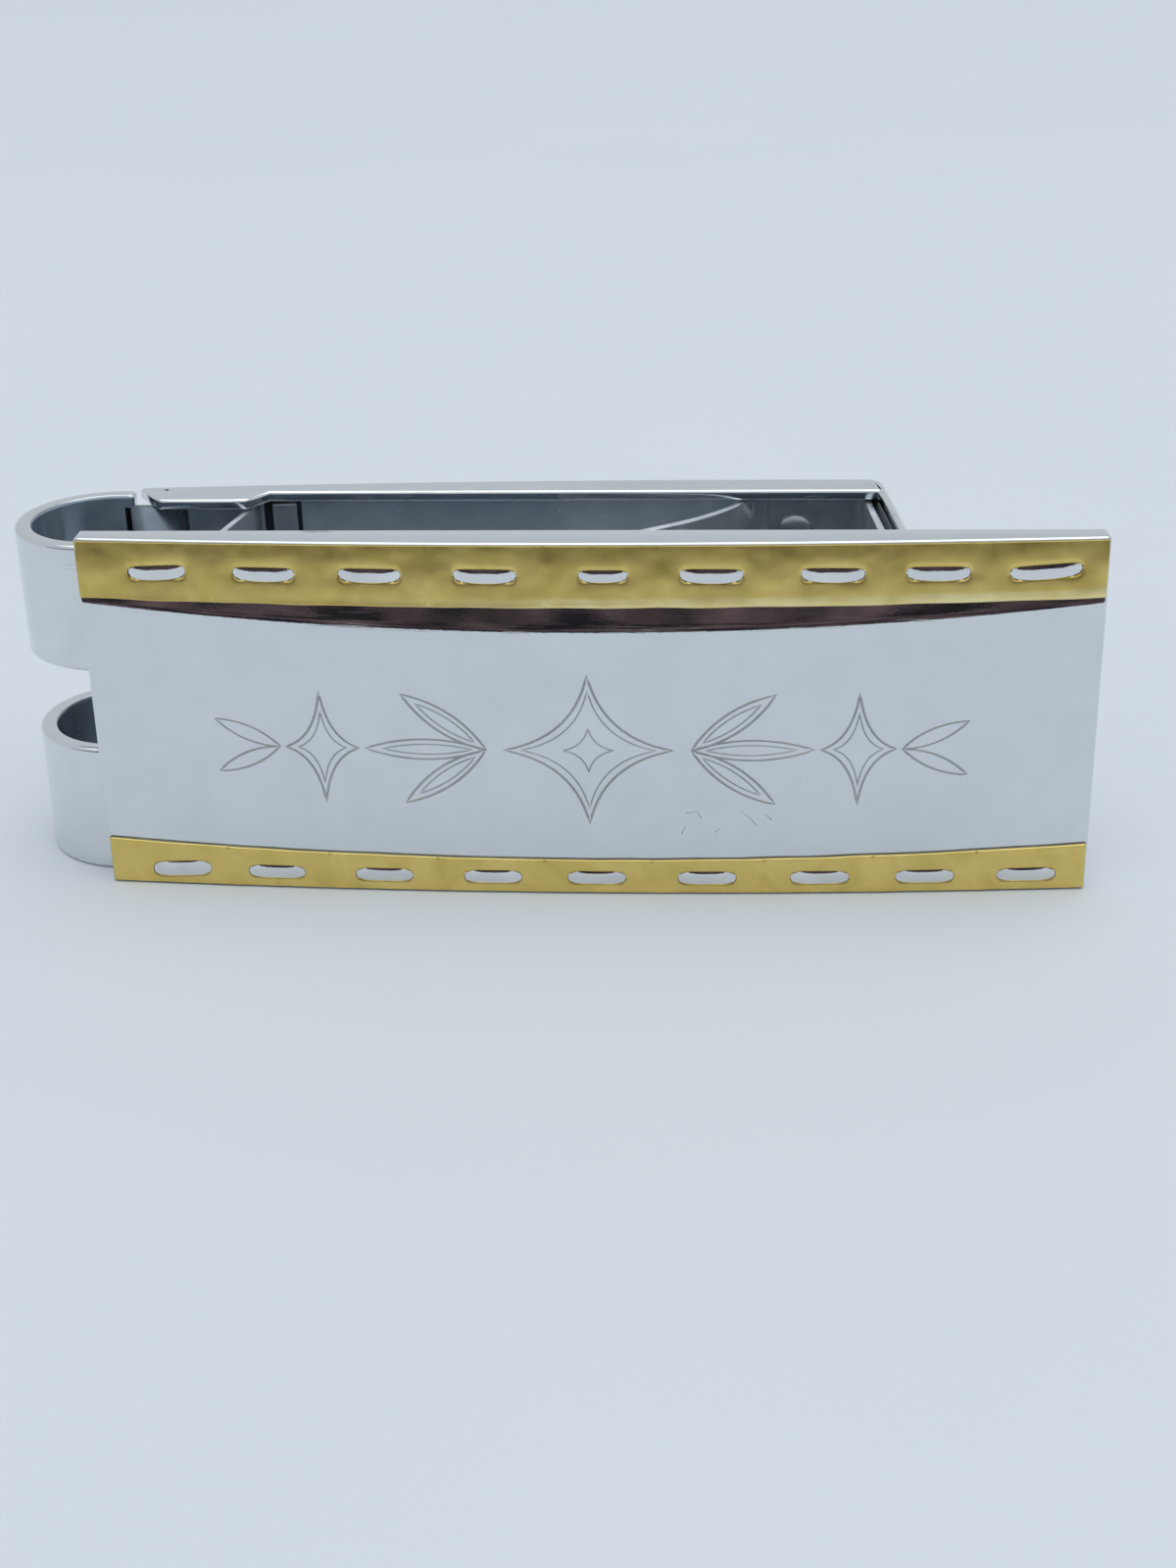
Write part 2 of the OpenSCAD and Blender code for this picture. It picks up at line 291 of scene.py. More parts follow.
def floor_paper():
    """Pale, matt, slightly blue paper with a faint tooth."""
    made = bpy.data.materials.new("pale_paper")
    made.use_nodes = True
    tree = made.node_tree
    shader = tree.nodes["Principled BSDF"]
    shader.inputs["Roughness"].default_value = 0.75
    cloud = noise_value(tree, 0.02, 2)
    tree.links.new(colour_mix(tree, cloud, (0.7, 0.745, 0.785), (0.73, 0.77, 0.81)),
                   shader.inputs["Base Color"])
    bumps = add(tree, "Bump", {"Height": noise_value(tree, 1.2, 4)})
    bumps.inputs["Strength"].default_value = 0.05
    bumps.inputs["Distance"].default_value = 0.05 * MM
    tree.links.new(bumps.outputs["Normal"], shader.inputs["Normal"])
    return made


MIRROR = metal("mirror_chrome", (0.74, 0.765, 0.79), (0.7, 0.73, 0.76), (0.02, 0.05), 6, 0.05,
               scratched=True)
CHROME = metal("bright_chrome", (0.76, 0.78, 0.8), (0.7, 0.725, 0.75), (0.03, 0.09), 2.5, 0.1,
               scratched=True)
STITCHED = metal("stitch_chrome", (0.8, 0.81, 0.82), (0.7, 0.71, 0.72), (0.03, 0.08), 5, 0.1)
GOLD = metal("satin_gold", (0.83, 0.64, 0.22), (0.68, 0.52, 0.15), (0.27, 0.36), 1.6, 0.15,
             cloud=0.5, swirl=0.9)
# A pale highlight painted into the gold along the upper band's inner edge
paint_edge_highlight(GOLD, (0.98, 0.88, 0.5))
GILT_EDGE = metal("gilt_edge", (0.4, 0.38, 0.24), (0.3, 0.28, 0.17), (0.3, 0.45), 2, 0.2)
ENGRAVED = metal("engraved_chrome", (0.52, 0.53, 0.54), (0.4, 0.41, 0.42), (0.3, 0.5), 9, 0.5)
# Inner faces of the lever: rougher chrome with painted light, its colour paler and bluer than the
# outer chrome
LEVER_INSIDE_PAINTED_LIGHT = metal("lever_inside_painted_light", (0.84, 0.91, 0.97), (0.68, 0.75, 0.81), (0.14, 0.3),
                     0.9, 0.3, metallic=0.65)
# Inner faces of the bow: rougher chrome with painted shade, its colour darker and bluer than the
# outer chrome
BOW_INSIDE_PAINTED_SHADE = metal("shaded_chrome", (0.38, 0.45, 0.52), (0.28, 0.34, 0.4), (0.14, 0.3), 0.9, 0.3,
                   metallic=0.65)
# Near-black colour of the hinge knuckle: painted shade, the knuckle itself being chrome
KNUCKLE_PAINTED_SHADE = metal("knuckle_painted_shade", (0.17, 0.21, 0.25), (0.11, 0.14, 0.17), (0.22, 0.4), 1.2, 0.4,
                metallic=0.6)
# Near-black matt metal for a sheet that is painted shadow
PAINTED_SHADOW_BLACK = metal("painted_shadow_black", (0.03, 0.035, 0.04), (0.015, 0.018, 0.02), (0.35, 0.55),
                  2, 0.2, metallic=0.3)
SPRING = metal("spring_steel", (0.8, 0.83, 0.86), (0.5, 0.55, 0.6), (0.08, 0.22), 1.1, 0.4,
               metallic=0.75)
STEEL = metal("plain_steel", (0.58, 0.6, 0.62), (0.44, 0.46, 0.48), (0.2, 0.34), 3, 0.3,
              metallic=0.8)


# ---------------------------------------------------------------- mesh helpers


def piece(name, verts, faces, material, body, slot, nodes=()):
    """A smooth-shaded piece from drawing points, riding on a body."""
    mesh = bpy.data.meshes.new(name)
    mesh.from_pydata([place(*v) for v in verts], [], faces)
    work = bmesh.new()
    work.from_mesh(mesh)
    bmesh.ops.remove_doubles(work, verts=work.verts, dist=1e-4 * MM)
    bmesh.ops.recalc_face_normals(work, faces=work.faces)
    work.to_mesh(mesh)
    work.free()
    mesh.shade_smooth()
    mesh.materials.append(material)
    obj = bpy.data.objects.new(name, mesh)
    bpy.context.scene.collection.objects.link(obj)
    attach(obj, body)
    if nodes:
        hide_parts(*nodes)
    return obj


def round_edges(obj, radius, segments=3, sharpest=35):
    """Rounds the outward edges that are sharper than an angle, and evens out the shading."""
    work = bmesh.new()
    work.from_mesh(obj.data)
    weight = work.edges.layers.float.new("bevel_weight_edge")
    for edge in work.edges:
        if edge.is_manifold and edge.is_convex and edge.calc_face_angle() > radians(sharpest):
            edge[weight] = 1
    work.to_mesh(obj.data)
    work.free()
    bevel = obj.modifiers.new("rounded", "BEVEL")
    bevel.width = radius * MM
    bevel.segments = segments
    bevel.use_clamp_overlap = False
    bevel.limit_method = "WEIGHT"
    normals = obj.modifiers.new("even_normals", "WEIGHTED_NORMAL")
    normals.weight = 100
    return obj


def paint_inside_light_and_shade(obj, material, centre_of, low, high):
    """Gives a second, rougher metal with painted light and shade in its colour to the faces
    between two heights that look towards a centre, which centre_of finds from a face's own x."""
    obj.data.materials.append(material)
    for face in obj.data.polygons:
        here = face.center.to_2d()
        towards = Vector(place(*centre_of(here.x / MM), 0)).to_2d() - here
        if low * MM < face.center.z < high * MM and face.normal.to_2d().dot(towards) > 0:
            face.material_index = 1


def join(*shapes):
    """Several (verts, faces) as one."""
    verts, faces = [], []
    for more_verts, more_faces in shapes:
        first = len(verts)
        verts += more_verts
        faces += [[first + i for i in face] for face in more_faces]
    return verts, faces


def after(at, radius, turn):
    """The place (x, y, heading) after a straight run, or a bend to the left if turn > 0."""
    x, y, heading = at
    if turn == 0:
        return x + radius * cos(heading), y + radius * sin(heading), heading
    side, end = (radius if turn > 0 else -radius), heading + turn
    return x + side * (sin(end) - sin(heading)), y - side * (cos(end) - cos(heading)), end


def places(steps, at, run=1.5):
    """Places along sheet metal bent through steps of (length,) or (radius, angle)."""
    line = [at]
    for radius, *turn in steps:
        turn = turn[0] if turn else 0
        parts = ceil(abs(turn) / BEND_STEP) if turn else ceil(radius / run)
        for k in range(1, parts + 1):
            share = k / parts
            line.append(after(at, radius, turn * share) if turn
                        else after(at, radius * share, 0))
        at = line[-1]
    return line


def beside(at, offset):
    """The point beside a place, offset to its left."""
    return at[0] - offset * sin(at[2]), at[1] + offset * cos(at[2])


def ribbon(line, thickness, levels, gap=lambda i, j: False):
    """A closed strip of sheet along a line of places. levels(i) gives the heights of its
    rows at place i, and gap(i, j) is true for a cell that is cut away."""
    rows = len(levels(0))
    verts = [(*beside(at, side * thickness / 2), z)
             for side in (1, -1) for i, at in enumerate(line) for z in levels(i)]

    def vert(side, i, j):
        return (side * len(line) + i) * rows + j

    def solid(i, j):
        return 0 <= i < len(line) - 1 and 0 <= j < rows - 1 and not gap(i, j)

    faces = []
    for i in range(len(line)):
        for j in range(rows):
            if solid(i, j):
                for side in (0, 1):
                    faces.append([vert(side, *c) for c in
                                  ((i, j), (i + 1, j), (i + 1, j + 1), (i, j + 1))])
            if j < rows - 1 and solid(i, j) != solid(i - 1, j):
                faces.append([vert(s, i, j + k) for s, k in ((0, 0), (0, 1), (1, 1), (1, 0))])
            if i < len(line) - 1 and solid(i, j) != solid(i, j - 1):
                faces.append([vert(s, i + k, j) for s, k in ((0, 0), (0, 1), (1, 1), (1, 0))])
    return verts, faces


def turned(profile, point_at, sides=40):
    """A closed round solid. profile is (radius, distance) from one end to the other, and
    point_at(u, v, w) gives the place of a point across, across and along its axis."""
    verts, faces = [], []
    for radius, along in profile:
        for k in range(sides):
            angle = 2 * pi * k / sides
            verts.append(point_at(radius * cos(angle), radius * sin(angle), along))
    for ring in range(len(profile) - 1):
        for k in range(sides):
            a, b = ring * sides + k, ring * sides + (k + 1) % sides
            faces.append([a, b, b + sides, a + sides])
    faces += [list(range(sides)), list(range(len(verts) - sides, len(verts)))]
    return verts, faces


def dome(radius, height, base, steps=7, rim=0.08):
    """Profile of a domed rivet head that rises from base by height."""
    points = [(radius - rim, base), (radius, base + rim)]
    for k in range(steps + 1):
        angle = pi / 2 * k / steps
        points.append((max(radius * cos(angle), 0.02),
                       base + rim + (height - rim) * sin(angle)))
    return points


# ---------------------------------------------------------------- face plate


def even_inner_edge(x, band):
    """Height of a band's sagging inner edge at x."""
    return BAND_INNER[band] - BAND_SAG[band] * (1 - (x / BAND_HALF) ** 2)


def inner_edge(x, band):
    """The same edge as it was cut, slightly unevenly, by hand."""
    return even_inner_edge(x, band) + 0.04 * noise.noise(Vector((x * 0.4, 4.2, band)))


def edge_dish(x, inside):
    """How far the face falls back at a distance inside the upper band's inner edge (negative
    under the band). It curves away just before the band and is upright again under it."""
    width = DISH_END + (DISH_MID - DISH_END) * max(0.0, 1 - (x / HALF_LEN) ** 2)
    turn = DISH_CURVE * width
    if inside >= width:
        return 0
    if inside >= width - turn:
        return DISH_SLOPE * (width - inside) ** 2 / (2 * turn)
    if inside >= 0:
        return DISH_SLOPE * (width - inside - turn / 2)
    settling = DISH_SETTLE * (1 - exp(inside / DISH_SETTLE))
    return DISH_SLOPE * (width - turn / 2) + DISH_SLOPE * settling


def face_y(x, z):
    """Y of the plate's front."""
    arc = FACE_R - PLATE_CROWN - sqrt(FACE_R**2 - x**2)
    return arc + edge_dish(x, even_inner_edge(x, 1) - z)


def steps_between(low, high, longest):
    """Evenly spread values from low to high, both included."""
    count = ceil((high - low) / longest)
    return [low + (high - low) * k / count for k in range(count + 1)]


def with_ends(values, near):
    """Values with extra ones close to both ends."""
    low, high = values[0], values[-1]
    return sorted({*values, *(low + d for d in near), *(high - d for d in near)})


def rim_loop(xs, zs):
    """The grid cells' outline as (x, z, out_x, out_z), anticlockwise from the lower left."""
    loop = [(x, zs[0], 0, -1) for x in xs[:-1]] + [(xs[-1], z, 1, 0) for z in zs[:-1]]
    loop += [(x, zs[-1], 0, 1) for x in xs[:0:-1]] + [(xs[0], z, -1, 0) for z in zs[:0:-1]]
    return loop


def rounded_out(x, z, inset_x, inset_z, out, corner):
    """A point of the inset rectangle's outline moved out, with the corners rounded."""
    far_x, far_z = inset_x + out - corner, inset_z + out - corner
    sx = x * (inset_x + out) / inset_x
    sz = z * (inset_z + out) / inset_z
    over_x, over_z = abs(sx) - far_x, abs(sz) - far_z
    if over_x > 0 and over_z > 0:
        scale = max(over_x, over_z) / hypot(over_x, over_z)
        over_x, over_z = over_x * scale, over_z * scale
        sx = (far_x + over_x) * (1 if sx > 0 else -1)
        sz = (far_z + over_z) * (1 if sz > 0 else -1)
    return sx, sz


def build_plate():
    """The face plate: a pressed mirror shell with a rounded rim, closed at its back edge."""
    half_x, half_z = HALF_LEN - RIM_R, PLATE_HEIGHT / 2 - RIM_R
    near = (0.04, 0.1, 0.2, 0.32)
    xs = with_ends(steps_between(-half_x, half_x, 0.5), near)
    zs = with_ends(steps_between(-half_z, half_z, 0.12), near)
    mid_z = PLATE_HEIGHT / 2
    verts = [(x, face_y(x, z + mid_z), z + mid_z) for x in xs for z in zs]
    faces = [[i * len(zs) + j, (i + 1) * len(zs) + j, (i + 1) * len(zs) + j + 1,
              i * len(zs) + j + 1] for i in range(len(xs) - 1) for j in range(len(zs) - 1)]
    loop = rim_loop(xs, zs)
    quarter = [pi / 2 * k / 8 for k in range(9)]
    rings = [(RIM_R * sin(a), ("front", RIM_R * (1 - cos(a)))) for a in quarter]
    rings += [(RIM_R, ("back", 0.1)), (RIM_R - 0.03, ("back", 0.03)), (RIM_R - 0.1, ("back", 0)),
              (RIM_R - PLATE_SHEET, ("back", 0)), (RIM_R - PLATE_SHEET, ("back", 0.6))]
    previous = [xs.index(x) * len(zs) + zs.index(z) for x, z, _, _ in loop]
    for out, (side, depth) in rings:
        ring = []
        for x, z, _, _ in loop:
            px, pz = rounded_out(x, z, half_x, half_z, out, RIM_CORNER_R)
            y = (face_y(max(-HALF_LEN, min(HALF_LEN, px)), pz + mid_z) + depth
                 if side == "front" else PLATE_DEPTH - depth)
            ring.append(len(verts))
            verts.append((px, y, pz + mid_z))
        for k in range(len(loop)):
            n = (k + 1) % len(loop)
            faces.append([previous[k], previous[n], ring[n], ring[k]])
        previous = ring
    faces.append(previous)
    return piece("mirror_face", verts, faces, MIRROR, "frame", "chrome", ["face_plate"])


# ---------------------------------------------------------------- engraving


def groove(points, width, closed=True):
    """A fine engraved line along (x, z) points, as a narrow faceted bead on the face."""
    verts, faces = [], []
    count = len(points)
    for k, (x, z) in enumerate(points):
        before = points[k - 1] if closed or k else points[0]
        behind = points[(k + 1) % count] if closed or k < count - 1 else points[-1]
        run_x, run_z = behind[0] - before[0], behind[1] - before[1]
        length = hypot(run_x, run_z) or 1
        side_x, side_z = -run_z / length * width / 2, run_x / length * width / 2
        for share, stand in GROOVE_SECTION:
            px, pz = x + share * side_x, z + share * side_z
            verts.append((px, face_y(px, pz) - stand, pz))
    for k in range(count if closed else count - 1):
        a, b = 4 * k, 4 * ((k + 1) % count)
        faces += [[a + c, a + (c + 1) % 4, b + (c + 1) % 4, b + c] for c in range(4)]
    if not closed:
        faces += [[0, 1, 2, 3], [4 * count - 4 + c for c in (3, 2, 1, 0)]]
    return verts, faces


def curve(a, b, c, parts=14):
    """Points of a bow-shaped curve from a to c, drawn towards b."""
    points = []
    for k in range(parts):
        t = k / parts
        points.append(tuple((1 - t) ** 2 * a[i] + 2 * t * (1 - t) * b[i] + t * t * c[i]
                            for i in (0, 1)))
    return points


def star(x, z, half_x, half_z, pinch):
    """A four-pointed star with hollow sides."""
    tips = [(half_x, 0), (0, half_z), (-half_x, 0), (0, -half_z)]
    points = []
    for k, tip in enumerate(tips):
        following = tips[(k + 1) % 4]
        pull = tuple(pinch * (tip[i] + following[i]) for i in (0, 1))
        points += curve(tip, pull, following)
    return [(x + px, z + pz) for px, pz in points]


def leaf(x, z, length, width, angle):
    """A pointed leaf that starts at (x, z) and leans by an angle."""
    sides = (curve((0, 0), (length / 2, width), (length, 0))
             + curve((length, 0), (length / 2, -width), (0, 0)))
    return [(x + px * cos(angle) - pz * sin(angle), z + px * sin(angle) + pz * cos(angle))
            for px, pz in sides]


def build_engraving():
    """A plain ornament of stars and leaf sprays, mirrored about the plate's middle."""
    mid_z, lines = 8.1, []
    for scale, width in ((1, 0.19), (0.8, 0.12), (0.3, 0.12)):
        lines.append(groove(star(0, mid_z, 4.3 * scale, 4.1 * scale, 0.17), width))
    for way in (1, -1):
        for angle, length in ((0, 6.2), (0.62, 5.2), (-0.62, 5.2)):
            lean = angle if way > 0 else pi - angle
            root = 5.2 * way
            lines.append(groove(leaf(root, mid_z, length, 1.1, lean), 0.18))
            inner = root + 0.7 * cos(lean)
            lines.append(groove(leaf(inner, mid_z + 0.7 * sin(lean), length - 1.6, 0.55, lean),
                                0.12))
        for scale, width in ((1, 0.18), (0.66, 0.12)):
            lines.append(groove(star(13.6 * way, mid_z, 1.9 * scale, 3.1 * scale, 0.16), width))
        for angle in (0.42, -0.42):
            lean = angle if way > 0 else pi - angle
            lines.append(groove(leaf(15.8 * way, mid_z, 3.6, 0.75, lean), 0.17))
    return piece("engraved_ornament", *join(*lines), ENGRAVED, "frame", "chrome")


def build_scuffs():
    """A few faint scuffs low on the plate's right half."""
    strokes = (((4.9, 4.6), (5.5, 4.7), (5.7, 4.3)), ((7.7, 4.7), (8.2, 4.3), (8.5, 3.9)),
               ((8.9, 4.6), (9.3, 4.2)), ((4.7, 3.4), (4.9, 3.9)), ((6.4, 3.5), (6.7, 3.8)))
    lines = [groove(stroke, SCUFF_WIDTH, False) for stroke in strokes]
    return piece("scuffs", *join(*lines), ENGRAVED, "frame", "chrome")


# ---------------------------------------------------------------- bands and stitches


def stitch_edge(angle, band, length, height, slant=0.0):
    """Outline of a stitch, at an angle round its middle: a bar with round ends, and in the
    upper band a boat with a straight deck and a full hull."""
    cx, cz = cos(angle), sin(angle)
    upper = DECK_SHARE if band else 0.5
    half_z = height * (upper if cz > 0 else 1 - upper)
    power = BAR_POWER if not band else DECK_POWER if cz > 0 else HULL_POWER
    reach = (abs(cx / (length / 2)) ** power + abs(cz / half_z) ** power) ** (-1 / power)
    return reach * cx, reach * cz + slant * reach * cx


def stitch_size(band, k):
    """Length, height and slant of the stitch k of a band: they are listed one by one."""
    if band:
        return {0: (2.9, 0.78, 0.05), 4: (2.4, 0.66, 0.0), 8: (3.5, 0.78, 0.06)}.get(
            k, (3.1, 0.76, -0.01))
    return {0: (3.1, 0.85, 0.06)}.get(k, (3.0, 0.72, 0.0))


def clear_of_stitches(x, z, band):
    """Distance from the nearest stitch of a band, inside it negative."""
    nearest = BAND_HALF
    for k, middle in enumerate(STITCH_X[band]):
        length, height, slant = stitch_size(band, k)
        straight = (length - height) / 2
        along = max(-straight, min(straight, x - middle))
        gap = hypot(x - middle - along, z - STITCH_Z[band] - slant * along) - height / 2
        nearest = min(nearest, gap)
    return nearest


def held(value):
    """A value held between 0 and 1."""
    return min(1, max(0, value))


def roll(distance, radius):
    """Height of a rounded edge over its flat, from 0 at the edge to 1 at radius from it."""
    return sqrt(max(0.0, 1 - (1 - held(distance / radius)) ** 2))


def band_stand(x, z, band):
    """How far a band's surface stands off the plate: its sheet, softly hammered, puffed up
    a little between the stitches, and rolled down at its edges and round each stitch."""
    clear = clear_of_stitches(x, z, band)
    swell = noise.noise(Vector((x * 0.55, z * 0.8, 3.1 + band * 7)))
    dent = noise.noise(Vector((x * 1.3, z * 1.5, 9.4 + band * 5)))
    puff = BAND_PUFF * (1 - exp(-max(0, clear) / PUFF_REACH))
    low, high = band_edges(x, band)
    crown = BAND_CROWN[band] * sin(pi * (z - low) / (high - low))
    stand = BAND_SHEET - BAND_DROP + puff + crown + BAND_SWELL * swell + BAND_DENT * dent
    edge = min(x + BAND_HALF, BAND_HALF - x, abs(z - BAND_OUTER[band]))
    burnished = INNER_ROLL + BURNISHED_ROLL * band * held((x + 4) / 8)
    rolled = min(roll(edge, OUTER_ROLL), roll(abs(z - inner_edge(x, band)), burnished))
    return stand * (0.7 + 0.3 * rolled) * (0.8 + 0.2 * roll(clear, WINDOW_ROLL))


def band_edges(x, band):
    """Heights of a band's lower and upper edge at x."""
    edges = BAND_OUTER[band], inner_edge(x, band)
    return min(edges), max(edges)


def cell_border(left, right, band):
    """The outline of a band between two values of x, anticlockwise."""
    along, up = 34, 16
    xs = [left + (right - left) * i / along for i in range(along + 1)]

    def climb(x):
        low, high = band_edges(x, band)
        return [(x, low + (high - low) * j / up) for j in range(up + 1)]

    lower = [(x, band_edges(x, band)[0]) for x in xs[:-1]]
    upper = [(x, band_edges(x, band)[1]) for x in xs[:0:-1]]
    return lower + climb(right)[:-1] + upper + climb(left)[:0:-1]


def band_cell(band, k):
    """The band's surface round one stitch, as rings from its window to the cell's border."""
    middles = STITCH_X[band]
    x, z = middles[k], STITCH_Z[band]
    left = (middles[k - 1] + x) / 2 if k else -BAND_HALF
    right = (x + middles[k + 1]) / 2 if k < len(middles) - 1 else BAND_HALF
    border = cell_border(left, right, band)
    length, height, slant = stitch_size(band, k)
    half_x, half_z = (right - left) / 2, (BAND_OUTER[1] - BAND_INNER[1]) / 2
    shares = (0, 0.012, 0.03, 0.06, 0.1, 0.16, 0.24, 0.34, 0.46, 0.58, 0.7, 0.8, 0.88, 0.93,
              0.96, 0.98, 1)
    verts, faces, count = [], [], len(border)
    for share in shares:
        for bx, bz in border:
            angle = atan2((bz - z) / half_z * height, (bx - x) / half_x * length)
            wx, wz = stitch_edge(angle, band, length, height, slant)
            px, pz = x + wx + (bx - x - wx) * share, z + wz + (bz - z - wz) * share
            stand = band_stand(px, pz, band) if share else -WINDOW_DEPTH
            verts.append((px, face_y(px, pz) - stand, pz))
    for level in range(len(shares) - 1):
        for i in range(count):
            n, a, b = (i + 1) % count, level * count, (level + 1) * count
            faces.append([a + i, a + n, b + n, b + i])
    return verts, faces


def build_band(band, name, node):
    """A satin gold band: one sheet with a window round each stitch, its edges turned down."""
    cells = [band_cell(band, k) for k in range(len(STITCH_X[band]))]
    obj = piece(name, *join(*cells), GOLD, "frame", "gold", [node])
    work = bmesh.new()
    work.from_mesh(obj.data)
    outer = [e for e in work.edges if e.is_boundary and not near_stitch(e, band)]
    made = bmesh.ops.extrude_edge_only(work, edges=outer)["geom"]
    for part in made:
        if isinstance(part, bmesh.types.BMVert):
            part.co.y += TURNED_DOWN * MM
        elif isinstance(part, bmesh.types.BMFace):
            part.material_index = 1
    bmesh.ops.recalc_face_normals(work, faces=work.faces)
    work.to_mesh(obj.data)
    work.free()
    obj.data.materials.append(GILT_EDGE)
    obj.data.shade_smooth()
    obj.data.set_sharp_from_angle(angle=radians(50))
    # Share of painted highlight at each vertex of the band
    painted_highlight = obj.data.attributes.new("painted_highlight", "FLOAT", "POINT")
    middle = place(0, 0, 0)[0]
    for vert in obj.data.vertices:
        painted_highlight.data[vert.index].value = painted_highlight_share((vert.co.x - middle) / MM, vert.co.z / MM, band)
    return obj


def painted_highlight_share(x, z, band):
    """How strong the highlight painted on a band's gold is: along the upper band's inner edge, to
    the right.
    """
    near = held((HIGHLIGHT_WIDTH - abs(z - inner_edge(x, band))) / HIGHLIGHT_FADE)
    onset = held((x + 13) / 14)
    return 0.7 * band * near * onset * (0.75 + 0.5 * noise.noise(Vector((x * 0.9, 1.7, 0))))


def near_stitch(edge, band):
    """True for an edge of a stitch's window."""
    middle = (edge.verts[0].co + edge.verts[1].co) / 2
    return abs(middle.z / MM - STITCH_Z[band]) < 0.9 and any(
        abs(middle.x - place(x, 0, 0)[0]) < 2.2 * MM for x in STITCH_X[band])


def stitch(band, k):
    """One stitch: rings from its foot, over its rim and in to its middle."""
    sides, rings = 44, 9
    x, z = STITCH_X[band][k], STITCH_Z[band]
    length, height, slant = stitch_size(band, k)
    verts = []
    for ring in range(rings + 1):
        share = min(1, (rings + 1.35 - ring) / (rings + 0.35)) if ring else 1
        fall = STITCH_FALL * (max(0, share - 0.35) / 0.65) ** 1.5 if ring else 0
        rise = STITCH_RISE - fall if ring else -WINDOW_DEPTH - 0.02
        for i in range(sides):
            wx, wz = stitch_edge(2 * pi * i / sides, band, length, height, slant)
            px, pz = x + wx * share, z + wz * share
            deck = held((wz - slant * wx) / (0.3 * height))
            flatter = band * STITCH_DECK * fall * deck
            verts.append((px, face_y(px, pz) - rise - flatter, pz))
    faces = []
    for ring in range(rings):
        for i in range(sides):
            a, b = ring * sides + i, ring * sides + (i + 1) % sides
            faces.append([a, b, b + sides, a + sides])
    faces += [list(range(len(verts) - sides, len(verts))), list(range(sides))]
    return verts, faces


def build_stitches():
    """The chrome stitches that bulge through the bands' windows."""
    shapes = [stitch(band, k) for band in (0, 1) for k in range(len(STITCH_X[band]))]
    obj = piece("stitches", *join(*shapes), STITCHED, "frame", "chrome")
    obj.data.set_sharp_from_angle(angle=radians(50))
    return obj


# ---------------------------------------------------------------- bow and hinge


def slot_rows(x):
    """Heights of the slot's edges where the bow's strip passes x."""
    into = SLOT_END - x
    if into <= 0:
        return SLOT_LOW + SLOT_CORNER, SLOT_HIGH - SLOT_CORNER
    short = max(0.0, SLOT_CORNER - into)
    drop = SLOT_CORNER - sqrt(SLOT_CORNER**2 - short**2)
    return SLOT_LOW + drop, SLOT_HIGH - drop


def bow_line():
    """Places along the middle of the bow's strip, closer together at the slot's corners."""
    radius = BOW_OUTER_R - BOW_SHEET / 2
    front_y = PLATE_DEPTH + BOW_SHEET / 2
    cuts = [SLOT_END - d for d in (0, 0.04, 0.12, 0.22)]
    line = [(x, front_y, pi) for x in (BOW_LEG_END, 10, 0, -10, -20, -24, *cuts)]
    bends = [0, 1, 2.2, 3.6, 5.2, 6.9, *range(10, 171, 4), 173.1, 174.8, 176.4, 177.8, 179, 180]
    start = (BOW_X, front_y, pi)
    line += [after(start, radius, -radians(d)) if d else start for d in bends]
    back_y = BOW_BACK_Y - BOW_SHEET / 2
    return line + [(x, back_y, 0) for x in (*reversed(cuts), BOW_END_X)]


def build_bow():
    """The sprung bow: a strip bent round in two loops, with a rolled knuckle on a thin neck."""
    line = bow_line()

    def levels(i):
        return 0, *slot_rows(line[i][0]), STRIP_HEIGHT

    def gap(i, j):
        return j == 1 and (line[i][0] + line[i + 1][0]) / 2 < SLOT_END

    strip = ribbon(line, BOW_SHEET, levels, gap)
    sheet = KNUCKLE_R - KNUCKLE_BORE_R
    radius = (KNUCKLE_R + KNUCKLE_BORE_R) / 2
    start = (NECK_X - 0.3, HINGE_Y - radius, 0)
    neck = places([(HINGE_X - start[0],), (radius, radians(318))], start)
    knuckle = ribbon(neck, sheet, lambda i: (NECK_LOW, NECK_HIGH))
    # The knuckle's dark colour is painted shade
    piece("rolled_knuckle", *knuckle, KNUCKLE_PAINTED_SHADE, "frame", "chrome")
    obj = piece("bow_strip", *strip, CHROME, "frame", "chrome", ["bow"])
    bend_x = place(BOW_X, 0, 0)[0] / MM
    shift = bend_x - BOW_X
    # Painted shade on the bow's inner faces
    paint_inside_light_and_shade(obj, BOW_INSIDE_PAINTED_SHADE,
                lambda x: (max(x, bend_x) - shift, PLATE_DEPTH + BOW_OUTER_R), 0, STRIP_HEIGHT)
    return round_edges(obj, 0.22, 5)


def build_bow_rivets():
    """Rivets through the bow's front leg, with peened ends in the note gap."""
    back = PLATE_DEPTH + BOW_SHEET
    profile = [(RIVET_R, 0.9), (RIVET_R, back - 0.02)]
    profile += dome(RIVET_R + 0.15, 0.14, back, rim=0.03)
    shapes = [turned(profile, lambda u, v, w, x=x, z=z: (x + u, w, z + v))
              for x in BOW_RIVET_X for z in BOW_RIVET_Z]
    return piece("bow_rivet_ends", *join(*shapes), STEEL, "frame", "steel", ["bow_rivets"])


def build_pin():
    """The hinge pin, with slightly domed ends."""
    profile = [(PIN_R * 0.3, 0), (PIN_R * 0.75, 0.02), (PIN_R * 0.95, 0.07), (PIN_R, 0.16)]
    profile += [(radius, STRIP_HEIGHT - z) for radius, z in reversed(profile)]
    shape = turned(profile, lambda u, v, w: (HINGE_X + u, HINGE_Y + v, w))
    return piece("pin", *shape, STEEL, "lever", "steel", ["hinge_pin"])


# ---------------------------------------------------------------- lever and springs


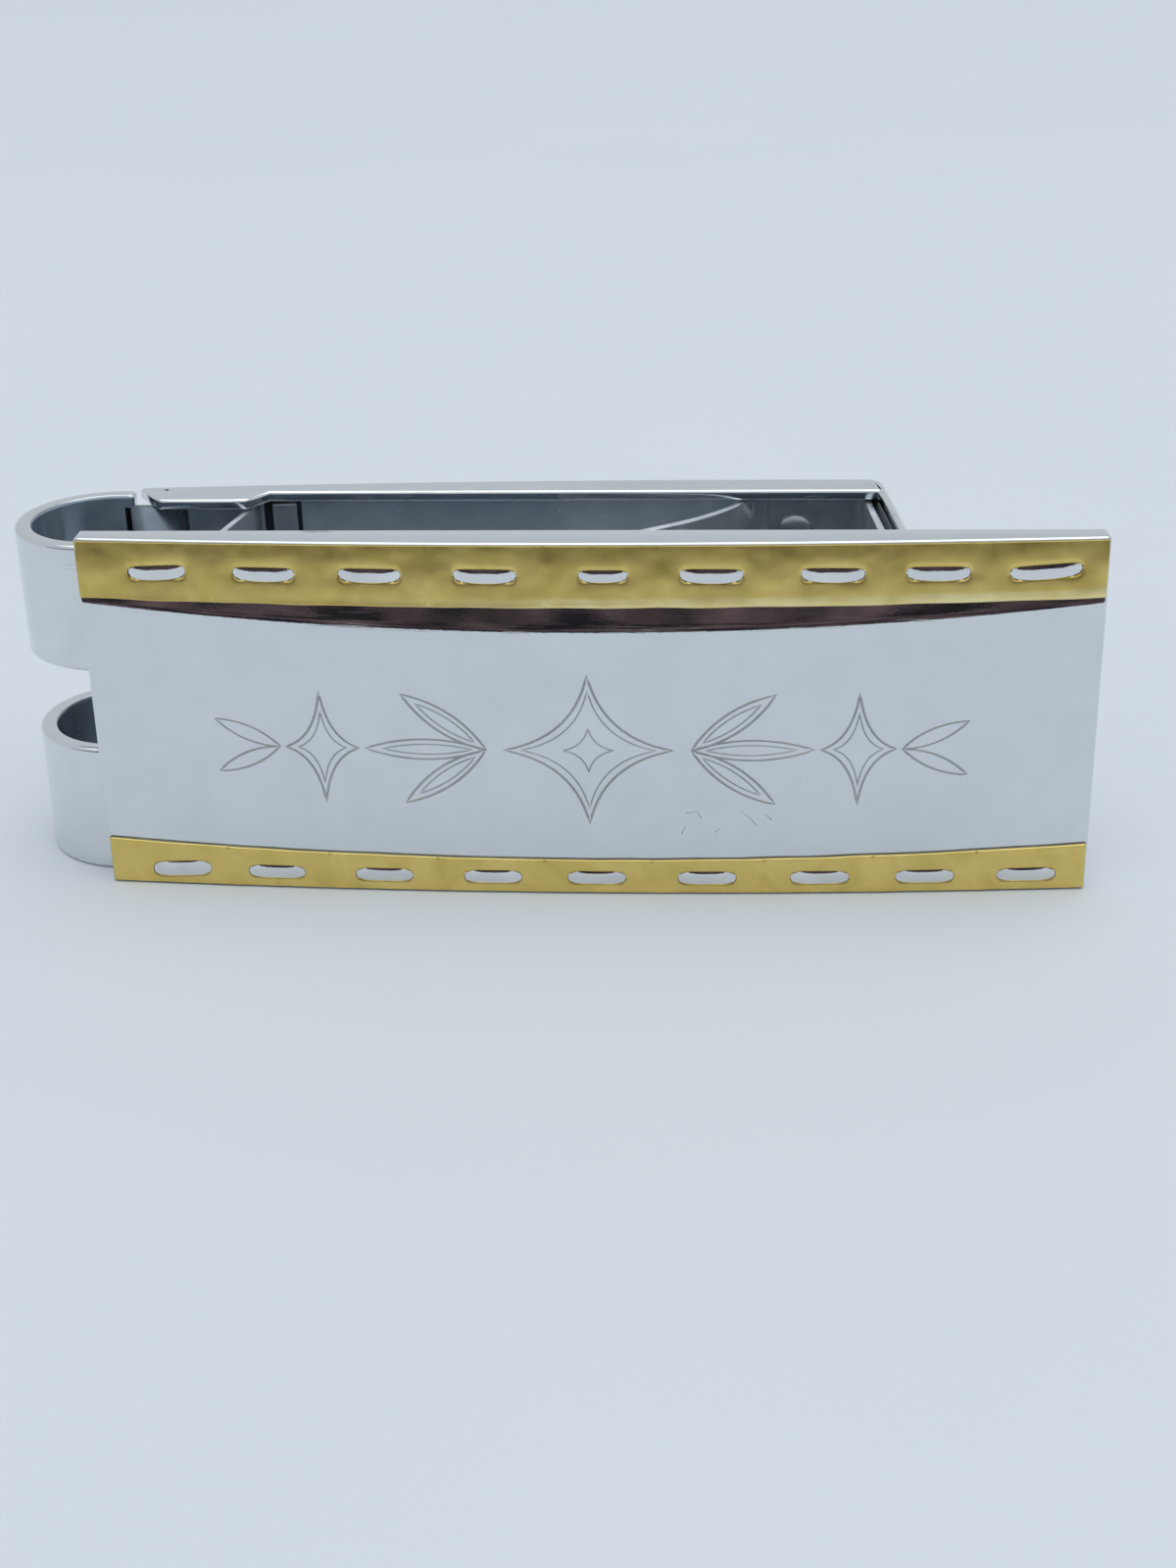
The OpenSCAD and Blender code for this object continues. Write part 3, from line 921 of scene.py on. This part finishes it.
def wall_heading(x):
    """Heading of the lever's bowed wall at x."""
    return -asin((x - LEVER_X) / LEVER_BACK_R)


def wall_point(x, drop):
    """Point of the lever's wall at x, drop inside its outer face."""
    radius, angle = LEVER_BACK_R - drop, pi / 2 + wall_heading(x)
    return LEVER_X + radius * cos(angle), LEVER_BACK - LEVER_BACK_R + radius * sin(angle)


def lever_line():
    """Places along the wall, round its corner and down the lip, and where the flange ends."""
    xs = steps_between(LEVER_LEFT, EAR_X[0], 0.5) + [LEVER_WALL_LEFT - 0.5, LEVER_WALL_LEFT]
    xs += steps_between(LEVER_WALL_LEFT, EAR_X[1], 1)[1:] + [EAR_X[2]]
    xs += steps_between(EAR_X[2], LEVER_CORNER_X, 1)[1:]
    line = [(*wall_point(x, LEVER_SHEET / 2), wall_heading(x)) for x in xs]
    turn = LIP_SLANT - pi / 2 - line[-1][2]
    line += places([(LEVER_CORNER_R - LEVER_SHEET / 2, turn)], line[-1])[1:]
    fold_end, corner = len(line) - 1, line[-1]
    down = -sin(corner[2])
    inner_y = beside(corner, -LEVER_SHEET / 2)[1]
    line.append(after(corner, (inner_y - FLANGE_Y) / down, 0))
    line += places([((line[-1][1] - LIP_END_Y) / down,)], line[-1])[1:]
    return line, len(xs) - 1, fold_end


def flange_front(x):
    """Y of the flanges' front edge at x."""
    ear_left, ear_right, shallow = EAR_X
    if x < ear_left:
        top = wall_point(LEVER_LEFT, LEVER_SHEET)[1]
        return top + (EAR_Y - top) * (x - LEVER_LEFT) / (ear_left - LEVER_LEFT)
    if x < ear_right:
        return EAR_Y
    return min(FLANGE_Y, EAR_Y + (FLANGE_Y - EAR_Y) * (x - ear_right) / (shallow - ear_right))


def flange(line, wall_end, fold_end, low, high):
    """One flange: a flat plate from the wall's inner face to its front edge."""
    end = fold_end + 1
    inner = [beside(at, -LEVER_SHEET / 2) for at in line[:end + 1]]
    front = [(x, flange_front(x)) for x, _ in inner[:wall_end + 1]]
    first, last = front[-1], inner[end]
    for k in range(1, end - wall_end):
        share = k / (end - wall_end)
        front.append((first[0] + (last[0] - first[0]) * share, FLANGE_Y))
    front.append(last)
    verts = [(*p, z) for z in (low, high) for p in inner + front]
    count, faces = len(inner), []
    for level in (0, 1):
        base = level * 2 * count
        faces += [[base + i, base + i + 1, base + count + i + 1, base + count + i]
                  for i in range(count - 1)]
    for i in range(count - 1):
        a = count + i
        faces.append([a, a + 1, a + 1 + 2 * count, a + 2 * count])
    faces.append([0, count, 3 * count, 2 * count])
    return verts, faces


def build_lever():
    """The clamping lever: a channel with ears at the hinge and a lip at the other end. The
    wall's inner faces are left out where a flange meets it."""
    line, wall_end, fold_end = lever_line()
    rows = (0, LEVER_SHEET, STRIP_HEIGHT - LEVER_SHEET, STRIP_HEIGHT)

    def gap(i, j):
        return j == 1 and line[i + 1][0] <= LEVER_WALL_LEFT + 0.01

    verts, faces = ribbon(line, LEVER_SHEET, lambda i: rows, gap)
    inside = len(rows) * len(line)
    open_cells = {(i, j) for i in range(fold_end + 1) for j in (0, 2)}
    kept = [f for f in faces
            if min(f) < inside or divmod(min(f) - inside, len(rows)) not in open_cells]
    shapes = [flange(line, wall_end, fold_end, *rows[:2]),
              flange(line, wall_end, fold_end, *rows[2:])]
    obj = piece("lever_channel", *join((verts, kept), *shapes), CHROME, "lever", "chrome",
                ["lever"])
    fold_back_edges(obj, line)
    middle = (LEVER_LEFT + LEVER_CORNER_X) / 2
    # Painted light on the channel's inner faces
    paint_inside_light_and_shade(obj, LEVER_INSIDE_PAINTED_LIGHT, lambda x: (middle, FLANGE_Y), LEVER_SHEET,
                STRIP_HEIGHT - LEVER_SHEET)
    return round_edges(obj, 0.17, 4, 40)


def fold_back_edges(obj, line):
    """Rounds the long outer edges, where the flanges are folded from the wall."""
    outer = [Vector(place(*beside(at, LEVER_SHEET / 2), 0)).to_2d() for at in line]
    work = bmesh.new()
    work.from_mesh(obj.data)
    heights = (0, STRIP_HEIGHT * MM)
    long_edges = [
        e for e in work.edges
        if all(min(abs(v.co.z - h) for h in heights) < 1e-7
               and min((v.co.to_2d() - p).length for p in outer) < 1e-7 for v in e.verts)]
    bmesh.ops.bevel(work, geom=long_edges, offset=LEVER_FOLD_R * MM, segments=6, profile=0.5,
                    affect="EDGES", clamp_overlap=True)
    work.to_mesh(obj.data)
    work.free()
    obj.data.shade_smooth()


def on_wall(x, drop, run):
    """The place on the wall at x, turned along the wall over a straight run."""
    return (*wall_point(x, drop), wall_heading(x + run / 2))


def build_snap_spring():
    """The L-shaped leaf by the hinge."""
    start = on_wall(SNAP_LEFT, LEAF_DEPTH + SNAP_SHEET / 2, SNAP_LEG)
    turn = -pi / 2 - SNAP_LEAN - wall_heading(SNAP_LEFT + SNAP_LEG / 2)
    line = places([(SNAP_LEG,), (SNAP_BEND_R, turn), (SNAP_FLAP,)], start)
    shape = ribbon(line, SNAP_SHEET, lambda i: (NECK_LOW, NECK_HIGH))
    obj = piece("snap_leaf", *shape, SPRING, "lever", "spring_steel", ["snap_spring"])
    return round_edges(obj, 0.07)


def build_grip_spring():
    """The leaf at the lip: a wing beside the lip, and a tongue that presses on the notes."""
    start = on_wall(GRIP_LEFT, LEAF_DEPTH + GRIP_SHEET / 2, GRIP_FOOT)
    turn = -pi / 2 + LIP_SLANT - wall_heading(GRIP_LEFT + GRIP_FOOT / 2)
    wing = places([(GRIP_FOOT,), (GRIP_BEND_R, turn), (GRIP_WING,)], start)
    root_x, root_y, heading = after(start, TONGUE_ROOT, 0)
    tongue = places(TONGUE_STEPS, (root_x, root_y, heading + pi))
    shapes = [ribbon(line, GRIP_SHEET, lambda i: (NECK_LOW, NECK_HIGH))
              for line in (wing, tongue)]
    obj = piece("grip_leaf", *join(*shapes), SPRING, "lever", "spring_steel", ["grip_spring"])
    return round_edges(obj, 0.08)


def build_wall_pad(name, size, material):
    """A thin raised pad on the inside of the wall."""
    (left, right), heights, rise, edge_radius = size
    run = right - left
    line = places([(run,)], on_wall(left, LEVER_SHEET + rise / 2 - 0.01, run), 0.5)
    pad = piece(name, *ribbon(line, rise, lambda i: heights), material, "lever", "spring_steel")
    return round_edges(pad, edge_radius)


def build_wall_rivets(name, x, heights, leaf, node):
    """Domed rivets that hold a leaf to the inside of the wall, flush in its back."""
    front = LEAF_DEPTH + leaf + 0.005
    heading = wall_heading(x)
    shapes = []
    for z in heights:
        def point_at(u, v, w, z=z):
            px, py = wall_point(x, w)
            return px + u * cos(heading), py + u * sin(heading), z + v

        profile = [(RIVET_R - 0.06, 0.02), (RIVET_R, 0.08), (RIVET_R, front - 0.01)]
        shapes.append(turned(profile + dome(RIVET_HEAD_R, RIVET_HEAD, front), point_at))
    return piece(name, *join(*shapes), STEEL, "lever", "steel", [node])


# ---------------------------------------------------------------- studio


def build_floor():
    """A pale sheet that runs out of sight in every direction."""
    bpy.ops.mesh.primitive_grid_add(x_subdivisions=8, y_subdivisions=8, size=20)
    floor = bpy.context.object
    floor.name = "floor"
    floor.data.materials.append(floor_paper())


def build_flag():
    """A dark card before the clip, seen only in reflections: it gives chrome its contrast."""
    bpy.ops.mesh.primitive_grid_add(x_subdivisions=2, y_subdivisions=2, size=1)
    flag = bpy.context.object
    flag.name = "flag"
    length, height, distance = 0.3, 0.023, 0.062
    flag.scale = (length, height, 1)
    flag.rotation_euler = (pi / 2, 0, 0)
    flag.location = (0, -distance, height / 2 + 0.0005)
    for ray in ("camera", "diffuse", "shadow", "transmission", "volume_scatter"):
        setattr(flag, "visible_" + ray, False)
    flag.data.materials.append(dark_card())


def dark_card():
    """Matt black card with brown streaks."""
    made = bpy.data.materials.new("dark_card")
    made.use_nodes = True
    tree = made.node_tree
    shader = tree.nodes["Principled BSDF"]
    shader.inputs["Roughness"].default_value = 0.9
    streaks = spread(tree, noise_value(tree, 1, 3, (0.035, 0.009, 1)), 0.42, 0.66)
    tree.links.new(colour_mix(tree, streaks, (0.008, 0.006, 0.009), (0.22, 0.13, 0.125)),
                   shader.inputs["Base Color"])
    return made


def soft_light(name, size, at, aim, energy, colour):
    """A large square area light, aimed at a point."""
    data = bpy.data.lights.new(name, "AREA")
    data.size, data.energy, data.color = size, energy, colour
    lamp = bpy.data.objects.new(name, data)
    bpy.context.scene.collection.objects.link(lamp)
    lamp.location = at
    lamp.rotation_euler = (Vector(aim) - Vector(at)).to_track_quat("-Z", "Y").to_euler()


def build_studio():
    """Even, pale light from all round, and one large soft box overhead."""
    scene = bpy.context.scene
    scene.view_settings.view_transform = "Standard"
    world = bpy.data.worlds.new("studio")
    scene.world = world
    world.use_nodes = True
    sky = world.node_tree.nodes["Background"]
    sky.inputs["Color"].default_value = (0.86, 0.92, 0.97, 1)
    sky.inputs["Strength"].default_value = 0.68
    soft_light("overhead", 1.8, (0.1, -0.25, 1.5), (0, 0, 0), 10.6, (1, 0.99, 0.98))


def build_camera():
    """The camera, a little above the clip and in front of it."""
    pitch, yaw, tilt = 0.43887, -0.06812, -0.02369
    forward = Vector((sin(yaw) * cos(pitch), cos(yaw) * cos(pitch), -sin(pitch)))
    level = Vector((cos(yaw), -sin(yaw), 0))
    up = level.cross(forward)
    right = cos(tilt) * level + sin(tilt) * up
    upward = cos(tilt) * up - sin(tilt) * level
    data = bpy.data.cameras.new("camera")
    data.sensor_width = 36
    data.lens = 51.75
    data.clip_start, data.clip_end = 0.005, 40
    camera = bpy.data.objects.new("camera", data)
    bpy.context.scene.collection.objects.link(camera)
    turn = Matrix((right, upward, -forward)).transposed()
    camera.matrix_world = turn.to_4x4()
    camera.location = place(7.015, -104.61, 54.982)
    bpy.context.scene.camera = camera


build_plate()
build_engraving()
build_scuffs()
build_band(0, "lower_band", "lower_gold_band")
build_band(1, "upper_band", "upper_gold_band")
build_stitches()
build_bow()
build_bow_rivets()
build_pin()
build_lever()
build_snap_spring()
build_grip_spring()
build_wall_pad("stop_pad", PAD, SPRING)
# A black sheet round the pad as painted shadow
build_wall_pad("stop_pad_painted_shadow", PAD_SHADOW, PAINTED_SHADOW_BLACK)
build_wall_rivets("snap_rivets", SNAP_RIVET_X, SNAP_RIVET_Z, SNAP_SHEET, "snap_spring_rivets")
build_wall_rivets("grip_rivets", GRIP_RIVET_X, GRIP_RIVET_Z, GRIP_SHEET, "grip_spring_rivets")
for material_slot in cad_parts["backing_plate"].material_slots:
    material_slot.material = STEEL
build_floor()
build_flag()
build_studio()
build_camera()
